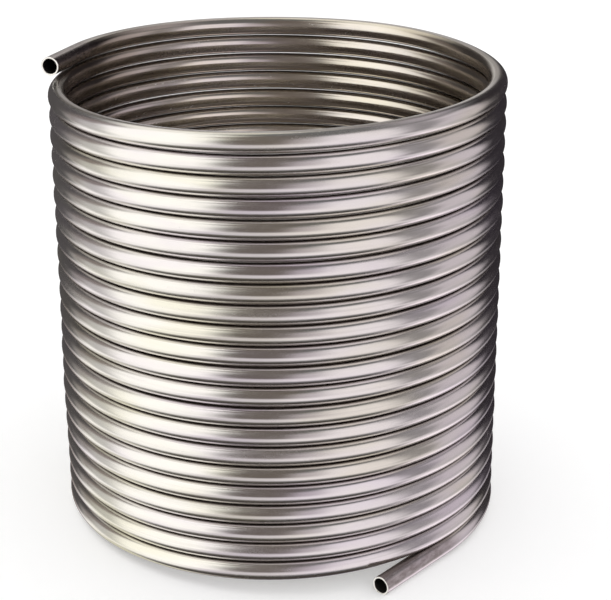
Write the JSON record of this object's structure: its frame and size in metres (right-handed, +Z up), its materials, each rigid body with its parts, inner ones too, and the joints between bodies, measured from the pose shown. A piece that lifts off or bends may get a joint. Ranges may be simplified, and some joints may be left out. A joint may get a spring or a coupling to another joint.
{
  "type": "immersion wort chiller",
  "caption": "Close-wound cylindrical coil of bare stainless tube with a straight open leg at each end, stood in hot wort with cold water running through it.",
  "frame": {"origin": "middle of the part's outline seen from above, on the surface that the coil stands on", "axes": "+Z up from that surface; the coil's own axis leans 1.75 degrees from it, as a rigid helix does that stands on the end of its lower leg and on the far side of its lowest turn; the legs' open ends point towards -Y, which is the front"},
  "size_m": [0.2381, 0.23, 0.2348],
  "materials": {
    "tube": "drawn satin-bright stainless tube, with fine lines along its length"
  },
  "bodies": {
    "root": {"lower_leg": "tube", "lower_turns": "tube", "middle_turns": "tube", "upper_turns": "tube", "upper_leg": "tube"}
  },
  "joints": []
}
